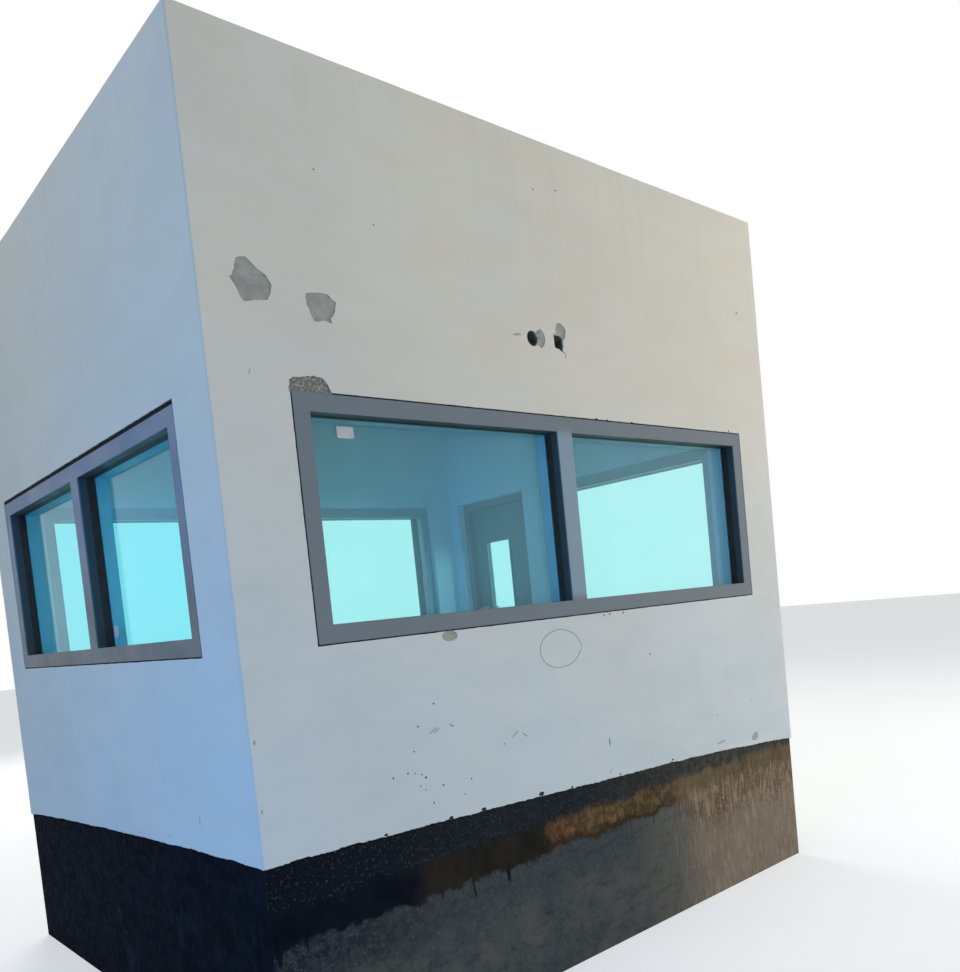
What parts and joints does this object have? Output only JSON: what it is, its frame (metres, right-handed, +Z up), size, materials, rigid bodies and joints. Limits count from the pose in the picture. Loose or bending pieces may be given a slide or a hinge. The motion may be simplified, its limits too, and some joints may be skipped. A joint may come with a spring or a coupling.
{
  "type": "security guard booth",
  "caption": "Flat-roofed guard booth of rendered masonry on a bitumen-coated plinth, with wide fixed windows and a hinged door.",
  "frame": {"origin": "centre of the booth's plan, at the foot of the plinth", "axes": "+Z up; the broad front faces -Y, the narrow left side faces -X and the door is in the +X side"},
  "size_m": [4.6, 3.85, 4.94],
  "materials": {
    "bitumen_coated_concrete": "black bitumen coat, worn off in runs to grey concrete",
    "concrete": "rough cast concrete",
    "plastered_masonry": "blockwork plastered inside",
    "painted_render": "trowelled render with a matt white paint",
    "repair_mortar": "raw cement mortar",
    "coated_aluminium": "satin grey-blue powder coat",
    "gasket_rubber": "black rubber",
    "tinted_glass": "blue-green tinted, lightly reflective",
    "door_paint": "satin dark grey paint",
    "hardware_steel": "brushed steel"
  },
  "bodies": {
    "building": {"front_plinth": "bitumen_coated_concrete", "back_plinth": "bitumen_coated_concrete", "left_plinth": "bitumen_coated_concrete", "right_plinth": "bitumen_coated_concrete", "floor_slab": "concrete", "roof_slab": "concrete", "roof_screed": "concrete", "front_sill_wall": "plastered_masonry", "front_piers": "plastered_masonry", "front_upper_wall": "plastered_masonry", "back_sill_wall": "plastered_masonry", "back_piers": "plastered_masonry", "back_upper_wall": "plastered_masonry", "left_sill_wall": "plastered_masonry", "left_piers": "plastered_masonry", "left_upper_wall": "plastered_masonry", "right_sill_wall": "plastered_masonry", "right_piers": "plastered_masonry", "right_upper_wall": "plastered_masonry", "front_parapet": "plastered_masonry", "back_parapet": "plastered_masonry", "left_parapet": "plastered_masonry", "right_parapet": "plastered_masonry", "front_render": "painted_render", "back_render": "painted_render", "left_render": "painted_render", "right_render": "painted_render", "mortar_patches": "repair_mortar", "front_window_frame": "coated_aluminium", "back_window_frame": "coated_aluminium", "left_window_frame": "coated_aluminium", "right_window_frame": "coated_aluminium", "front_gaskets": "gasket_rubber", "back_gaskets": "gasket_rubber", "left_gaskets": "gasket_rubber", "right_gaskets": "gasket_rubber", "front_glass": "tinted_glass", "back_glass": "tinted_glass", "left_glass": "tinted_glass", "right_glass": "tinted_glass", "door_frame": "door_paint", "threshold": "hardware_steel", "door_hinge_fixed": "hardware_steel"},
    "door": {"door_leaf": "door_paint", "door_glass": "tinted_glass", "door_hinge_moving": "hardware_steel", "door_handles": "hardware_steel"}
  },
  "joints": [
    {"name": "door_hinge", "type": "hinge", "parent": "building", "child": "door", "pos_m": [2.2485, 0.6375, 2.25], "axis": [0, 0, -1], "range_deg": [0, 110]}
  ]
}
